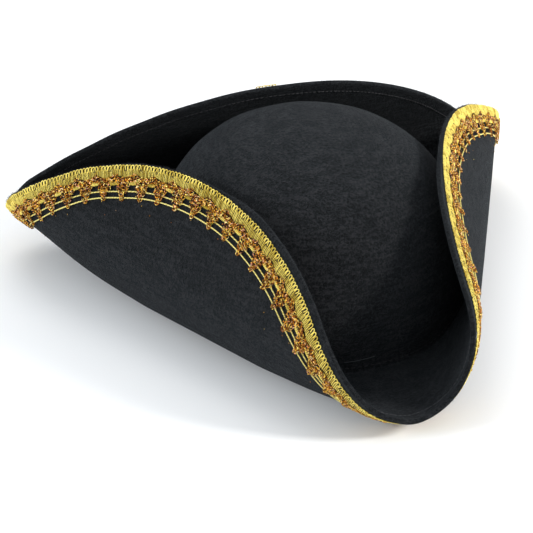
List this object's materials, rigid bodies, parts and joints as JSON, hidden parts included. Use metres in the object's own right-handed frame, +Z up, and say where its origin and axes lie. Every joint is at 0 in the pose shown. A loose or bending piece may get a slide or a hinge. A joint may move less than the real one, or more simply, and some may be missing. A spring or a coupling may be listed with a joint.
{
  "type": "three-cornered pirate hat",
  "caption": "Black felt three-cornered hat: a domed crown on a round brim turned up on three sides and edged with a gold braid.",
  "frame": {"origin": "on the surface the hat rests on, below the middle of its bounding box", "axes": "+Z up through the crown, -Y towards the front corner, +X to the side, so the hat is mirror-symmetric about X = 0 apart from the size label"},
  "size_m": [0.3242, 0.2932, 0.1105],
  "materials": {
    "crown_felt": "matte fuzzy polyester felt, black",
    "brim_felt": "matte pressed polyester felt, black",
    "black_thread": "polyester sewing thread, black",
    "sweatband_ribbon": "ribbed black ribbon",
    "label_cloth": "woven white cloth, blank",
    "gold_thread": "shiny yellow-gold satin thread",
    "gold_cord": "shiny yellow-gold twisted cord",
    "copper_glitter_yarn": "copper-gold glitter boucle yarn"
  },
  "bodies": {
    "root": {"crown": "crown_felt", "brim": "brim_felt", "crown_seam_stitches": "black_thread", "sweatband": "sweatband_ribbon", "sweatband_join": "sweatband_ribbon", "sweatband_stitches": "black_thread", "size_label": "label_cloth", "braid_header_band": "gold_thread", "braid_picot_edge": "gold_thread", "braid_glitter_motifs": "copper_glitter_yarn", "braid_upper_cord": "gold_cord", "braid_lower_cord": "gold_cord", "braid_knots": "copper_glitter_yarn", "braid_end_overlap": "gold_thread", "braid_stitches": "black_thread"}
  },
  "joints": []
}
